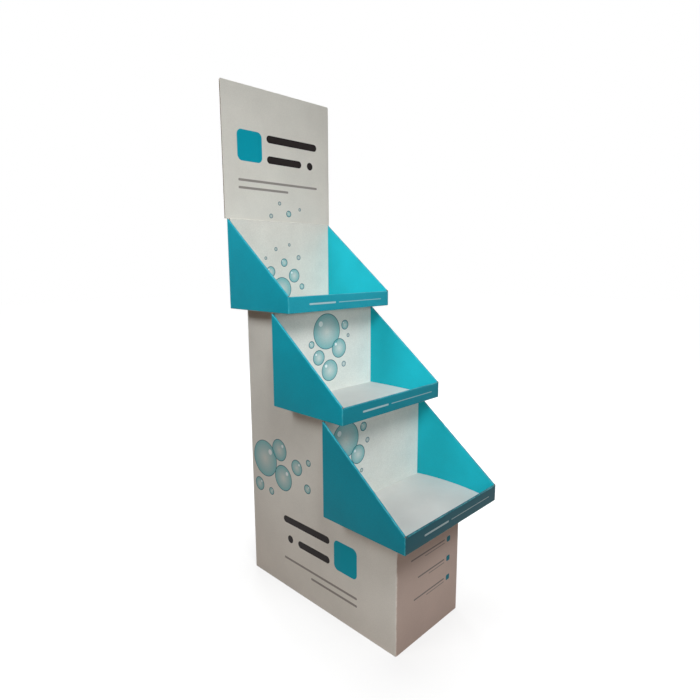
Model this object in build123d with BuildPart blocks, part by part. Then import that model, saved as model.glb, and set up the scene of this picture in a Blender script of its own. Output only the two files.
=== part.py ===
import os
from math import hypot

from build123d import *

# Cardboard display stand: a stepped folded body with three open trays and a
# header card. The origin is under the middle of the stand, on the floor.
# The front faces -Y, and all sizes are in millimetres.

# Heights and steps of the body
overall_height = 1500.0
base_height = 335.0
step_rise = 262.0
step_depth = 198.0
body_width = 275.0

# Boards
body_board = 3.0
header_board = 3.0
support_board = 3.0
tray_board = 2.0
wall_layers = 3
crease_radius = 0.5

# Folded flaps of the body
flap_width = 50.0
flap_relief = 4.0
flap_mitre = 9.0
fold_depth = 12.0
glue_flap_width = 36.0
lap_gap = 0.5
glue_bead = 1.0

# Header card
header_width = 412.0
header_corner_radius = 5.0
header_neck_inset = 9.0
tongue_width = 170.0
tongue_length = 140.0
tongue_bevel = 14.0

# Trays
tray_width = 402.0
tray_depth = 273.0
lip_height = 45.0
ridge_radius = 1.7
tray_fold_radius = 2.4
corner_tab_length = 58.0
lock_tab_length = 32.0
side_tab_spacing = 84.0
cross_tab_spacing = 210.0
lock_tab_recess = 0.3

# Clearances
seat_gap = 0.3
slip_gap = 0.3
slot_slip = 0.2
head_gap = 1.0
hem_gap = 0.6
nose_bevel = 1.0
match = 0.01

# Levels of the three steps, from the lowest to the highest
tray_names = ["bottom_tray", "middle_tray", "top_tray"]
plate_names = ["front_cross_plate", "middle_cross_plate", "rear_cross_plate"]
levels = range(len(tray_names))
header_pocket = body_board + header_board
body_depth = header_pocket + len(levels) * step_depth
tray_reach = header_pocket + (len(levels) - 1) * step_depth + seat_gap + tray_depth
back_y = max(body_depth, tray_reach) / 2
front_y = back_y - body_depth
step_tops = [base_height + level * step_rise for level in levels]
body_height = step_tops[-1]
step_rears = [back_y - header_pocket - (levels[-1] - level) * step_depth for level in levels]
step_fronts = [rear - step_depth for rear in step_rears]
plate_ys = [rear - step_depth / 2 for rear in step_rears]
half_body = body_width / 2
half_tray = tray_width / 2
wall_height = step_rise - head_gap


def fold_line_radius(board):
    """Radius of a fold along the middle of the board."""
    return crease_radius + board / 2


# Body sleeve: one sheet wrapped round, glued at the back right corner
panel_mid = half_body - body_board / 2
back_mid = back_y - body_board / 2
glue_mid = back_mid - body_board
front_mid = front_y + body_board / 2
lap_start = (panel_mid, back_y - body_depth / 2)
with BuildPart() as body_sleeve:
    with BuildSketch(Plane.XY):
        with BuildLine():
            FilletPolyline(
                (half_body - lap_gap, back_mid),
                (-panel_mid, back_mid),
                (-panel_mid, front_mid),
                (panel_mid, front_mid),
                lap_start,
                radius=fold_line_radius(body_board),
            )
        trace(line_width=body_board)
        with BuildLine():
            FilletPolyline(
                lap_start,
                (panel_mid, glue_mid),
                (half_body - glue_flap_width, glue_mid),
                radius=fold_line_radius(body_board),
            )
        trace(line_width=body_board)
        # Glue squeezed out along the lap at the back right corner
        with Locations((half_body - lap_gap, back_y - body_board)):
            Rectangle(glue_flap_width / 2, glue_bead, align=(Align.MAX, Align.MAX))
    extrude(amount=body_height)

    # Steps cut into both side panels and the front
    cut_front = front_y - step_depth
    with BuildSketch(Plane.YZ):
        with BuildLine():
            outline = [(cut_front, body_height + step_rise), (cut_front, step_tops[0])]
            for level in levels[:-1]:
                outline.append((step_fronts[level + 1], step_tops[level]))
                outline.append((step_fronts[level + 1], step_tops[level + 1]))
            outline.append((step_fronts[-1], body_height + step_rise))
            Polyline(*outline, close=True)
        make_face()
    extrude(amount=body_width, both=True, mode=Mode.SUBTRACT)

    # Side flaps folded in level with each step
    for level in levels:
        flap_top = step_tops[level]
        flap_rear = step_rears[level] - flap_relief
        flap_front = step_fronts[level] + flap_relief
        if level == levels[0]:
            flap_front = front_y + flap_width + flap_relief
        flap_length = flap_rear - flap_front
        for side in (-1, 1):
            with BuildSketch(Plane.XZ.offset(-flap_rear)):
                with Locations((side * panel_mid, flap_top)):
                    Rectangle(body_board, fold_depth, align=(Align.CENTER, Align.MAX))
            extrude(amount=flap_length, mode=Mode.SUBTRACT)
            with BuildSketch(Plane.XZ.offset(-flap_rear)):
                with BuildLine():
                    FilletPolyline(
                        (side * panel_mid, flap_top - fold_depth),
                        (side * panel_mid, flap_top - body_board / 2),
                        (side * (half_body - flap_width), flap_top - body_board / 2),
                        radius=fold_line_radius(body_board),
                    )
                trace(line_width=body_board)
            extrude(amount=flap_length)

    # Front flap folded in under the bottom tray
    front_flap_half = half_body - body_board - flap_relief
    with BuildSketch(Plane.YZ.offset(-front_flap_half)):
        with Locations((front_mid, base_height)):
            Rectangle(body_board, fold_depth, align=(Align.CENTER, Align.MAX))
    extrude(amount=2 * front_flap_half, mode=Mode.SUBTRACT)
    with BuildSketch(Plane.YZ.offset(-front_flap_half)):
        with BuildLine():
            FilletPolyline(
                (front_mid, base_height - fold_depth),
                (front_mid, base_height - body_board / 2),
                (front_y + flap_width, base_height - body_board / 2),
                radius=fold_line_radius(body_board),
            )
        trace(line_width=body_board)
    extrude(amount=2 * front_flap_half)

    # Mitred free corners of all the flaps
    flap_edge_x = half_body - flap_width
    flap_edge_y = front_y + flap_width
    board_edges = body_sleeve.edges().filter_by(Axis.Z).filter_by(lambda e: e.length < body_board + match)
    side_corners = board_edges.filter_by(lambda e: abs(abs(e.center().X) - flap_edge_x) < match)
    front_corners = board_edges.filter_by(lambda e: abs(e.center().Y - flap_edge_y) < match).filter_by(
        lambda e: abs(abs(e.center().X) - front_flap_half) < match
    )
    chamfer(side_corners + front_corners, flap_mitre)
body_sleeve.part.label = "body_sleeve"

# Header card: full width above the top tray, with a neck that stands on the body behind
# the tray's back wall and a tongue that drops inside the back panel
header_rear = back_y - body_board
header_foot = body_height + wall_height
neck_width = tray_width - 2 * header_neck_inset
with BuildPart() as header_card:
    with BuildSketch(Plane.XZ.offset(-header_rear)) as header_outline:
        with Locations((0, header_foot)):
            Rectangle(header_width, overall_height - header_foot, align=(Align.CENTER, Align.MIN))
        with Locations((0, body_height)):
            Rectangle(neck_width, wall_height, align=(Align.CENTER, Align.MIN))
            Rectangle(tongue_width, tongue_length, align=(Align.CENTER, Align.MAX))
        fillet(header_outline.vertices().group_by(Axis.Y)[-1], header_corner_radius)
        chamfer(header_outline.vertices().group_by(Axis.Y)[0], tongue_bevel)
    extrude(amount=header_board)
header_card.part.label = "header_card"

# Lengthwise support rib under the middle of the trays
rib_rear = back_y - header_pocket - slip_gap
rib_front = front_y + body_board + slip_gap
flap_notch = front_y + flap_width + flap_relief
lap_share = 0.5
with BuildPart() as support_rib:
    with BuildSketch(Plane.YZ) as rib_outline:
        with BuildLine():
            outline = [(rib_rear, 0), (rib_rear, body_height)]
            for level in reversed(levels[1:]):
                outline.append((step_fronts[level], step_tops[level]))
                outline.append((step_fronts[level], step_tops[level - 1]))
            outline.append((flap_notch, base_height))
            outline.append((flap_notch, base_height - body_board))
            outline.append((rib_front, base_height - body_board))
            outline.append((rib_front, 0))
            Polyline(*outline, close=True)
        make_face()
        for plate_y, top in zip(plate_ys, step_tops):
            with Locations((plate_y, top)):
                Rectangle(
                    support_board + 2 * slot_slip,
                    top * lap_share + slot_slip,
                    align=(Align.CENTER, Align.MAX),
                    mode=Mode.SUBTRACT,
                )
        front_nose = rib_outline.vertices().group_by(Axis.X)[0].sort_by(Axis.Y)[-1]
        chamfer(front_nose, nose_bevel)
    extrude(amount=support_board / 2, both=True)
support_rib.part.label = "support_rib"

# Cross plates: one under each tray, slotted over the rib, notched for the side flaps
plate_width = body_width - 2 * body_board - 2 * slip_gap
notch_width = plate_width / 2 - (half_body - flap_width) + flap_relief
plates = []
for name, plate_y, top in zip(plate_names, plate_ys, step_tops):
    with BuildPart() as cross_plate:
        with BuildSketch(Plane.XZ.offset(-plate_y - support_board / 2)) as plate_outline:
            Rectangle(plate_width, top, align=(Align.CENTER, Align.MIN))
            with Locations((-plate_width / 2, top)):
                Rectangle(notch_width, body_board, align=(Align.MIN, Align.MAX), mode=Mode.SUBTRACT)
            with Locations((plate_width / 2, top)):
                Rectangle(notch_width, body_board, align=(Align.MAX, Align.MAX), mode=Mode.SUBTRACT)
            shoulders = plate_outline.vertices().filter_by(
                lambda v: abs(abs(v.X) - plate_width / 2) < match and v.Y > top / 2
            )
            chamfer(shoulders, nose_bevel)
            Rectangle(
                support_board + 2 * slot_slip,
                top * (1 - lap_share) + slot_slip,
                align=(Align.CENTER, Align.MIN),
                mode=Mode.SUBTRACT,
            )
        extrude(amount=support_board)
    cross_plate.part.label = name
    plates.append(cross_plate.part)

# Trays: one blank each, with double walls rolled over a ridge
tray_wall = wall_layers * tray_board
wall_slope = (wall_height - lip_height) / tray_depth
ridge_drop = tray_board * hypot(1, wall_slope)


def make_tray(tray_back, tray_base):
    """Folded tray with its outer back face and its underside at the given places."""
    tray_front = tray_back - tray_depth
    floor_z = tray_base + tray_board
    cross_half = half_tray - tray_wall / 2
    with BuildPart() as tray:
        with BuildSketch(Plane.XY.offset(tray_base)):
            with Locations((0, tray_back)):
                Rectangle(tray_width, tray_depth, align=(Align.CENTER, Align.MAX))
        extrude(amount=tray_board)

        # Sloping side walls with a rounded ridge
        for wall_x in (-half_tray, half_tray - tray_wall):
            with BuildSketch(Plane.YZ.offset(wall_x)):
                with BuildLine():
                    Polyline(
                        (tray_back, tray_base),
                        (tray_back, tray_base + wall_height),
                        (tray_front, tray_base + lip_height),
                        (tray_front, tray_base),
                        close=True,
                    )
                make_face()
            extrude(amount=tray_wall)
        slanted = tray.edges().filter_by(lambda e: e.length > tray_depth + match)
        fillet(slanted.filter_by(Plane.YZ), ridge_radius)

        # Back wall and front lip, also double, each with its ridge
        for cross_y, height in ((tray_back - tray_wall, wall_height), (tray_front, lip_height)):
            with BuildSketch(Plane.YZ.offset(-cross_half)) as cross_section:
                with Locations((cross_y, tray_base)):
                    Rectangle(tray_wall, height, align=(Align.MIN, Align.MIN))
                fillet(cross_section.vertices().group_by(Axis.Y)[-1], ridge_radius)
            extrude(amount=2 * cross_half)

        # Soft outer folds in plan and along the bottom
        with BuildSketch(Plane.XY.offset(tray_base)):
            with Locations((0, tray_back - tray_depth / 2)):
                RectangleRounded(tray_width, tray_depth, tray_fold_radius)
        extrude(amount=wall_height, mode=Mode.INTERSECT)
        with BuildSketch(Plane.XZ.offset(-tray_back)) as front_view:
            with Locations((0, tray_base)):
                Rectangle(tray_width, wall_height, align=(Align.CENTER, Align.MIN))
            fillet(front_view.vertices().group_by(Axis.Y)[0], tray_fold_radius)
        extrude(amount=tray_depth, mode=Mode.INTERSECT)
        with BuildSketch(Plane.YZ.offset(-half_tray)) as side_view:
            with Locations((tray_back, tray_base)):
                Rectangle(tray_depth, wall_height, align=(Align.MAX, Align.MIN))
            fillet(side_view.vertices().group_by(Axis.Y)[0], tray_fold_radius)
        extrude(amount=tray_width, mode=Mode.INTERSECT)

        # Hollows between the two layers of each wall, left solid at the corner tabs
        hollow_rear = tray_back - corner_tab_length
        hollow_front = tray_front + corner_tab_length
        for hollow_x in (tray_board - half_tray, half_tray - 2 * tray_board):
            with BuildSketch(Plane.YZ.offset(hollow_x)):
                with BuildLine():
                    hollow_top = tray_base + wall_height - ridge_drop
                    Polyline(
                        (hollow_rear, floor_z),
                        (hollow_rear, hollow_top - corner_tab_length * wall_slope),
                        (hollow_front, hollow_top - (tray_depth - corner_tab_length) * wall_slope),
                        (hollow_front, floor_z),
                        close=True,
                    )
                make_face()
            extrude(amount=tray_board, mode=Mode.SUBTRACT)
        cross_hollow_half = half_tray - tray_wall - tray_board
        for hollow_y, height in ((tray_back - 2 * tray_board, wall_height), (tray_front + tray_board, lip_height)):
            with BuildSketch(Plane.YZ.offset(-cross_hollow_half)):
                with Locations((hollow_y, floor_z)):
                    Rectangle(tray_board, height - 2 * tray_board, align=(Align.MIN, Align.MIN))
            extrude(amount=2 * cross_hollow_half, mode=Mode.SUBTRACT)

        # Free lower hem of each inner layer, with its locking tabs through the floor
        side_hem_length = hollow_rear - hollow_front
        side_hem_y = (hollow_rear + hollow_front) / 2
        hem_inset = tray_wall - tray_board / 2
        cross_rear_y = tray_back - hem_inset
        cross_front_y = tray_front + hem_inset
        side_hem_x = half_tray - hem_inset
        with BuildSketch(Plane.XY.offset(floor_z)):
            with Locations((-side_hem_x, side_hem_y), (side_hem_x, side_hem_y)):
                Rectangle(tray_board, side_hem_length)
            with Locations((0, cross_rear_y), (0, cross_front_y)):
                Rectangle(2 * cross_hollow_half, tray_board)
        extrude(amount=hem_gap, mode=Mode.SUBTRACT)
        half_side = side_tab_spacing / 2
        half_cross = cross_tab_spacing / 2
        side_spots = [(x, side_hem_y + y) for x in (-side_hem_x, side_hem_x) for y in (-half_side, half_side)]
        cross_spots = [(x, y) for x in (-half_cross, half_cross) for y in (cross_rear_y, cross_front_y)]
        slot_length = lock_tab_length + 2 * slot_slip
        slot_width = tray_board + 2 * slot_slip
        with BuildSketch(Plane.XY.offset(tray_base)):
            with Locations(*side_spots):
                Rectangle(slot_width, slot_length)
            with Locations(*cross_spots):
                Rectangle(slot_length, slot_width)
        extrude(amount=tray_board + hem_gap, mode=Mode.SUBTRACT)
        with BuildSketch(Plane.XY.offset(tray_base + lock_tab_recess)):
            with Locations(*side_spots):
                Rectangle(tray_board, lock_tab_length)
            with Locations(*cross_spots):
                Rectangle(lock_tab_length, tray_board)
        extrude(amount=tray_board + hem_gap - lock_tab_recess)
    return tray.part


trays = []
for name, rear, top in zip(tray_names, step_rears, step_tops):
    tray_part = make_tray(rear - seat_gap, top)
    tray_part.label = name
    trays.append(tray_part)

# One file for each piece
os.makedirs("parts", exist_ok=True)
for piece in [body_sleeve.part, header_card.part, support_rib.part] + plates + trays:
    export_step(piece, f"parts/{piece.label}.step")
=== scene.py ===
"""Looks of a cardboard display stand: a stepped body, open trays on its steps and a header card.

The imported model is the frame. The body, the header card and the trays are modelled here as the folded
boards that they are, with fluted edges, seams and printed faces, and each stands for its CAD node. The
supports inside the body keep their own meshes and get a kraft finish.
"""

import logging
from collections.abc import Callable, Iterable
from dataclasses import dataclass
from enum import Enum
from math import cos, pi, radians, sin

import bmesh
import bpy
from mathutils import Matrix, Vector


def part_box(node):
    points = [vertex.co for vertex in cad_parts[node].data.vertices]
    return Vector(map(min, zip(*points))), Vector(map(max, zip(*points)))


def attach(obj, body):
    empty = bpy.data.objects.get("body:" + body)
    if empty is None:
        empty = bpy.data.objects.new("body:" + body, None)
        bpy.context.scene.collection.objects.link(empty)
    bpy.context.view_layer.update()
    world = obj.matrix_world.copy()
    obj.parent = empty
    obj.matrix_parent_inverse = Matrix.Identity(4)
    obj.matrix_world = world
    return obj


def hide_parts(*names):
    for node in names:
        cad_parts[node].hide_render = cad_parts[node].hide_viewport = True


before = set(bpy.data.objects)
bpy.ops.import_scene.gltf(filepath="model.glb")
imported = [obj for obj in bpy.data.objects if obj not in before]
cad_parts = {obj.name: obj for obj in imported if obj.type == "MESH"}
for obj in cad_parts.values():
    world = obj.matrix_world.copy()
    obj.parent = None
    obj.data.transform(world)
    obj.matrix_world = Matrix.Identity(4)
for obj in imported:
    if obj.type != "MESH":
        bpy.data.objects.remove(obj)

log = logging.getLogger("display_stand")

Colour = tuple[float, float, float, float]
Point = tuple[float, float, float]
Box = tuple[Vector, Vector]
Piece = bpy.types.Object
Material = bpy.types.Material
Node = bpy.types.Node
Tree = bpy.types.NodeTree
Socket = bpy.types.NodeSocket
Test = Callable[[Vector, Vector], bool]

MM = 0.001
TINY = 0.05 * MM
X, Y, Z = range(3)
# Least share of a direction along an axis: straight along it, nearer to it than to the next, or sloping.
STRAIGHT, NEARER, SLOPING = 0.9, 0.7, 0.5


def ink(*shares: int) -> Colour:
    """Colour of a printed ink for the shaders.

    Args:
        *shares: red, green and blue, 0 to 255, as seen on a screen.

    Returns:
        The linear colour with full alpha.
    """
    values = [share / 255 for share in shares]
    red, green, blue = (v / 12.92 if v <= 0.04045 else ((v + 0.055) / 1.055) ** 2.4 for v in values)
    return red, green, blue, 1.0


def dim(colour: Colour, share: float) -> Colour:
    """A colour at a share of its light."""
    return *(part * share for part in colour[:3]), 1.0


class Ink:
    """Colours of the print and the papers, a few with painted light and shade in them."""

    WHITE = ink(227, 226, 218)
    BODY_WHITE = ink(231, 230, 222)
    # Painted shade: the body's front is the same white board as its sides, printed darker and warmer for the
    # shade under the trays.
    PAINTED_SHADE_WHITE = ink(213, 195, 185)
    # Painted light: the lower trays' backdrops, printed whiter than the top tray's to lift the shade that
    # the trays above cast.
    PAINTED_LIGHT_BACKDROP = ink(233, 234, 228)
    TEAL = ink(4, 160, 182)
    # Painted shade: the bottom tray's sides, printed darker than the other trays' for the weaker light near
    # the floor.
    PAINTED_SHADE_TEAL = ink(8, 141, 161)
    # Painted light: the inner faces of the tray walls, printed lighter than the outer teal for the light
    # that bounces inside the trays.
    PAINTED_LIGHT_CYAN = ink(28, 188, 205)
    DEEP_TEAL = ink(18, 122, 140)
    CHARCOAL = ink(30, 24, 24)
    GREY = ink(138, 133, 128)
    AQUA = ink(96, 176, 182)
    GLINT = ink(240, 246, 245)
    RIM = ink(22, 84, 96)
    PALE = ink(206, 222, 222)
    # Painted shade: the dark of the hollows between the liners of a raw edge.
    HOLLOW = ink(58, 42, 30)


class Kind(Enum):
    """What a pick in edit mode is made of."""

    VERT = "verts"
    EDGE = "edges"
    FACE = "faces"


class Run(Enum):
    """Axis along which a wall of a tray runs."""

    DEEP = Y
    WIDE = X


class Panel(Enum):
    """Plane that a print lies in, by the two coordinates that it reads."""

    FRONT = ("X", "Z")
    SIDE = ("Y", "Z")


@dataclass(frozen=True)
class BoardFinishes:
    """Materials of one folded board."""

    printed: Material
    plain: Material
    raw: Material


# ------------------------------------------------------------------ modelling


def near(first: float, second: float) -> bool:
    """Whether two measures name the same place."""
    return abs(first - second) < TINY


def facing(axis: int, way: int = 0) -> Test:
    """A test for faces that look along an axis, one way with 1 or -1 and both ways with 0."""
    return lambda place, normal: (normal[axis] * way if way else abs(normal[axis])) > STRAIGHT


class Bench:
    """One piece in edit mode, worked on as by hand with parts that are picked by their place."""

    CUT_SLACK = 1e-7

    def __init__(self, piece: Piece) -> None:
        """Keeps the piece that is worked on."""
        self.piece = piece

    def __enter__(self) -> "Bench":
        """Opens the piece in edit mode with nothing picked.

        Returns:
            The bench itself.
        """
        pick_objects([self.piece])
        bpy.ops.object.mode_set(mode="EDIT")
        bpy.ops.mesh.select_all(action="DESELECT")
        return self

    def __exit__(self, *problem: object) -> None:
        """Closes edit mode."""
        bpy.ops.object.mode_set(mode="OBJECT")

    @staticmethod
    def lie(element: object) -> tuple[Vector, Vector]:
        """How an element of the mesh lies.

        Args:
            element: a vertex, edge or face.

        Returns:
            Its middle, and the run of an edge or the normal of anything else.
        """
        if isinstance(element, bmesh.types.BMEdge):
            first, last = (corner.co for corner in element.verts)
            return (first + last) / 2, (last - first).normalized()
        if isinstance(element, bmesh.types.BMFace):
            return element.calc_center_bounds(), element.normal
        return element.co, element.normal

    def pick(self, kind: Kind, test: Test) -> None:
        """Picks every element that passes a test, and nothing else.

        Args:
            kind: vertices, edges or faces.
            test: takes an element's middle and its direction, and says whether it is picked.
        """
        bpy.ops.mesh.select_mode(type=kind.name)
        bpy.ops.mesh.select_all(action="DESELECT")
        mesh = bmesh.from_edit_mesh(self.piece.data)
        for element in getattr(mesh, kind.value):
            if test(*self.lie(element)):
                element.select_set(True)
        mesh.select_flush_mode()
        bmesh.update_edit_mesh(self.piece.data)

    def clear(self, test: Test) -> None:
        """Takes away every face that passes a test."""
        self.pick(Kind.FACE, test)
        bpy.ops.mesh.delete(type="FACE")

    def move(self, x: float = 0.0, y: float = 0.0, z: float = 0.0) -> None:
        """Moves what is picked by a distance in metres."""
        bpy.ops.transform.translate(value=(x, y, z))

    def cut(self, place: Vector, normal: Vector, clear: bool = False) -> None:
        """Cuts what is picked along a plane, and may clear the side that the plane's normal points to."""
        bpy.ops.mesh.bisect(plane_co=place, plane_no=normal, clear_outer=clear, threshold=self.CUT_SLACK)

    def cut_all(self, place: Vector, normal: Vector, clear: bool = False) -> None:
        """Cuts the whole mesh along a plane, as cut does with what is picked."""
        bpy.ops.mesh.select_all(action="SELECT")
        self.cut(place, normal, clear)

    def cut_at(self, axis: int, places: Iterable[float], test: Test) -> None:
        """Cuts faces across one axis at several places.

        Args:
            axis: X, Y or Z.
            places: where the cuts lie on the axis.
            test: picks the faces that are cut.
        """
        normal = Vector((0.0, 0.0, 0.0))
        normal[axis] = 1.0
        for place in places:
            self.pick(Kind.FACE, test)
            self.cut(normal * place, normal)

    def pull_edges(self, x: float = 0.0, y: float = 0.0, z: float = 0.0) -> None:
        """Extrudes the picked edges by a distance in metres and leaves the new edges picked."""
        bpy.ops.mesh.extrude_edges_move(TRANSFORM_OT_translate={"value": (x, y, z)})

    def pull_faces(self, z: float) -> None:
        """Extrudes the picked faces upwards by a distance in metres and leaves the new faces picked."""
        bpy.ops.mesh.extrude_region_move(TRANSFORM_OT_translate={"value": (0.0, 0.0, z)})

    def round_folds(self, radius: float, segments: int = 4) -> None:
        """Bevels the picked edges to a fold of a given radius."""
        bpy.ops.mesh.bevel(offset=radius, segments=segments, affect="EDGES", offset_type="OFFSET")


def pick_objects(pieces: list[Piece]) -> None:
    """Selects these objects alone, the first of them active.

    Args:
        pieces: the objects.
    """
    bpy.ops.object.select_all(action="DESELECT")
    for piece in pieces:
        piece.select_set(True)
    bpy.context.view_layer.objects.active = pieces[0]


def settle(piece: Piece, name: str) -> Piece:
    """Names an object and its mesh, and moves its place and size into the mesh.

    Args:
        piece: the object.
        name: its name.

    Returns:
        The same object.
    """
    piece.name = piece.data.name = name
    pick_objects([piece])
    bpy.ops.object.transform_apply(location=True, rotation=True, scale=True)
    return piece


def block(name: str, low: Vector, high: Vector) -> Piece:
    """A box between two corners, as the start of a piece.

    Args:
        name: name of the object and its mesh.
        low: lowest corner.
        high: highest corner.

    Returns:
        The box, with its place in its mesh.
    """
    bpy.ops.object.select_all(action="DESELECT")
    bpy.ops.mesh.primitive_cube_add(size=1.0, location=(low + high) / 2, scale=high - low)
    return settle(bpy.context.object, name)


def sheet(name: str, low: Vector, high: Vector) -> Piece:
    """A level rectangle that faces up, as the start of a piece.

    Args:
        name: name of the object and its mesh.
        low: one corner, which gives the height.
        high: the opposite corner.

    Returns:
        The rectangle, with its place in its mesh.
    """
    bpy.ops.object.select_all(action="DESELECT")
    middle = Vector(((low.x + high.x) / 2, (low.y + high.y) / 2, low.z))
    bpy.ops.mesh.primitive_plane_add(size=1.0, location=middle)
    bpy.context.object.scale = (high.x - low.x, high.y - low.y, 1.0)
    return settle(bpy.context.object, name)


def apply_modifier(piece: Piece, kind: str, **settings: object) -> None:
    """Adds a modifier with its settings and applies it.

    Args:
        piece: the object that it works on.
        kind: the modifier's type.
        **settings: its properties by name.
    """
    pick_objects([piece])
    bpy.ops.object.modifier_add(type=kind)
    modifier = piece.modifiers[-1]
    for name, value in settings.items():
        setattr(modifier, name, value)
    bpy.ops.object.modifier_apply(modifier=modifier.name)


def give_thickness(piece: Piece, thickness: float, finishes: BoardFinishes) -> None:
    """Turns a folded surface into board, inwards from its printed side.

    Args:
        piece: open surface whose normals point to the printed side.
        thickness: thickness of the board.
        finishes: materials of the printed side, the plain side and the raw edges.
    """
    for material in (finishes.printed, finishes.plain, finishes.raw):
        piece.data.materials.append(material)
    even = {"use_even_offset": True, "use_quality_normals": True}
    slots = {"material_offset": 1, "material_offset_rim": 2}
    apply_modifier(piece, "SOLIDIFY", thickness=thickness, offset=-1.0, **even, **slots)
    map_edges(piece, 2, thickness)


def join(pieces: list[Piece], name: str) -> Piece:
    """Joins meshes into one piece under a name.

    Args:
        pieces: the meshes.
        name: name of what they become.

    Returns:
        The joined piece.
    """
    pick_objects(pieces)
    bpy.ops.object.join()
    piece = bpy.context.object
    piece.name = piece.data.name = name
    return piece


def copy_piece(piece: Piece, name: str, shift: Vector) -> Piece:
    """A copy with its own mesh, moved by a distance.

    Args:
        piece: what is copied.
        name: name of the copy.
        shift: how far the copy is moved.

    Returns:
        The copy.
    """
    pick_objects([piece])
    bpy.ops.object.duplicate(linked=False)
    bpy.context.object.location = shift
    return settle(bpy.context.object, name)


def smooth(piece: Piece, degrees: float = 32.0) -> None:
    """Shades the folds smooth and keeps the raw edges sharp."""
    pick_objects([piece])
    bpy.ops.object.shade_smooth_by_angle(angle=radians(degrees))


def outline(mesh: bpy.types.Mesh, polygon: bpy.types.MeshPolygon) -> tuple[list[Vector], list[Vector]]:
    """Corners and sides of a face, in order."""
    corners = [mesh.vertices[i].co for i in polygon.vertices]
    return corners, [b - a for a, b in zip(corners, corners[1:] + corners[:1])]


def mark_folds(piece: Piece, widest: float, prints: Iterable[Material]) -> None:
    """Marks the narrow faces of the folds, for the worn print along them and the light and shade painted
    there.

    Args:
        piece: the finished mesh.
        widest: faces narrower than this are folds.
        prints: materials of printed faces.
    """
    mesh = piece.data
    marks = mesh.attributes.new("fold", "FLOAT", "FACE")
    slots = {slot for slot, material in enumerate(mesh.materials) if material in prints}
    for polygon in mesh.polygons:
        longest = max(side.length for side in outline(mesh, polygon)[1])
        narrow = polygon.material_index in slots and polygon.area / longest < widest
        marks.data[polygon.index].value = 1.0 if narrow else 0.0


def map_edges(piece: Piece, slot: int, thickness: float) -> None:
    """Lays the raw edges out for their flutes: metres along the edge and 0 to 1 through the board.

    Upright edges of a board with upright flutes get one place along the wave.

    Args:
        piece: the mesh with its thickness.
        slot: material slot of the raw edges.
        thickness: thickness of the board.
    """
    mesh = piece.data
    layer = mesh.uv_layers.get("edge") or mesh.uv_layers.new(name="edge")
    for polygon in mesh.polygons:
        if polygon.material_index != slot:
            continue
        corners, sides = outline(mesh, polygon)
        through = min(sides, key=lambda side: abs(side.length - thickness)).normalized()
        run = polygon.normal.cross(through).normalized()
        level = abs(run.z) < NEARER
        start = min(corner.dot(through) for corner in corners)
        for loop in polygon.loop_indices:
            corner = mesh.vertices[mesh.loops[loop].vertex_index].co
            share = (corner.dot(through) - start) / thickness
            layer.data[loop].uv = (corner.dot(run) if level else 0.0, share)


def repaint(piece: Piece, material: Material, test: Test) -> None:
    """Gives some faces of the first material slot another material.

    Args:
        piece: the mesh.
        material: what the chosen faces get.
        test: takes a face's middle and normal.
    """
    mesh = piece.data
    if material.name not in mesh.materials:
        mesh.materials.append(material)
    index = mesh.materials.find(material.name)
    for polygon in mesh.polygons:
        if polygon.material_index == 0 and test(polygon.center, polygon.normal):
            polygon.material_index = index


def seat(piece: Piece, node: str) -> None:
    """Seats a piece in the frame in place of its node and reports it.

    Args:
        piece: the finished piece.
        node: the node that it replaces.
    """
    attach(piece, "root")
    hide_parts(node)
    log.info("%s: %d faces", piece.name, len(piece.data.polygons))


# ------------------------------------------------------------------ shading


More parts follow.
